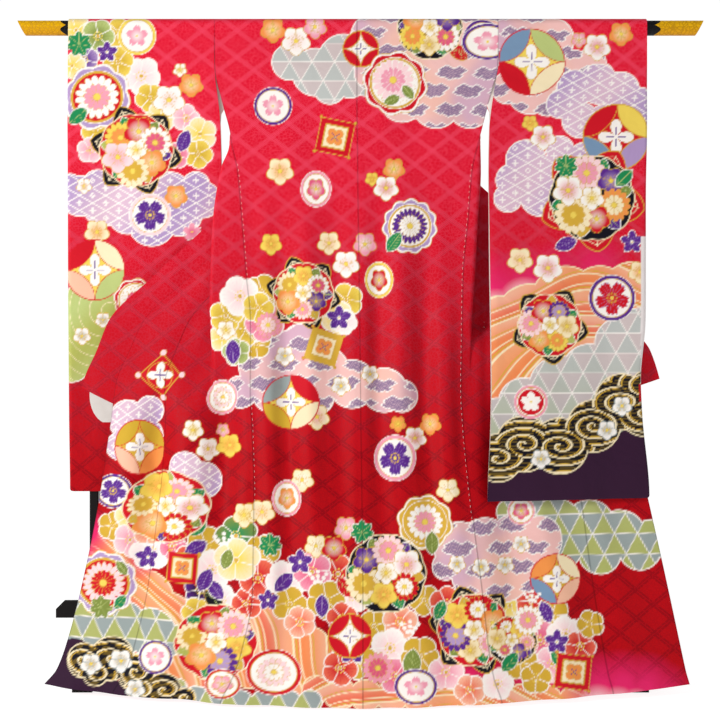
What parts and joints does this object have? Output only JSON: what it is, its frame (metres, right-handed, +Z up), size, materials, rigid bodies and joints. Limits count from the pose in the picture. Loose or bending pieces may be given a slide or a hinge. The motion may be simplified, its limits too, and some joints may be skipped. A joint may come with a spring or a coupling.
{
  "type": "furisode kimono on a lacquered clothes stand",
  "caption": "Long-sleeved lined silk kimono draped back-out over the pole of a black lacquer stand with gilt ends, fronts spread sideways below the arms, hem just off the floor",
  "frame": {"origin": "on the floor at the middle of the part's length and depth", "axes": "X along the pole, +X to the right as the garment's back is seen; the garment's back faces -Y; Z up"},
  "size_m": [1.568, 0.3684, 1.506],
  "materials": {
    "silk": "figured satin-weave silk, printed",
    "lining": "plain silk lining",
    "lacquer": "black gloss lacquer",
    "gilt": "engraved gilt"
  },
  "bodies": {
    "root": {"back_left": "silk", "back_right": "silk", "front_left": "silk", "front_right": "silk", "okumi_left": "silk", "okumi_right": "silk", "sleeve_left": "silk", "sleeve_right": "silk", "collar": "silk", "collar_lining": "lining", "pole": "lacquer", "gilt_end_left": "gilt", "gilt_end_right": "gilt", "post_left": "lacquer", "post_right": "lacquer", "foot_left": "lacquer", "foot_right": "lacquer", "lower_rail": "lacquer"}
  },
  "joints": []
}
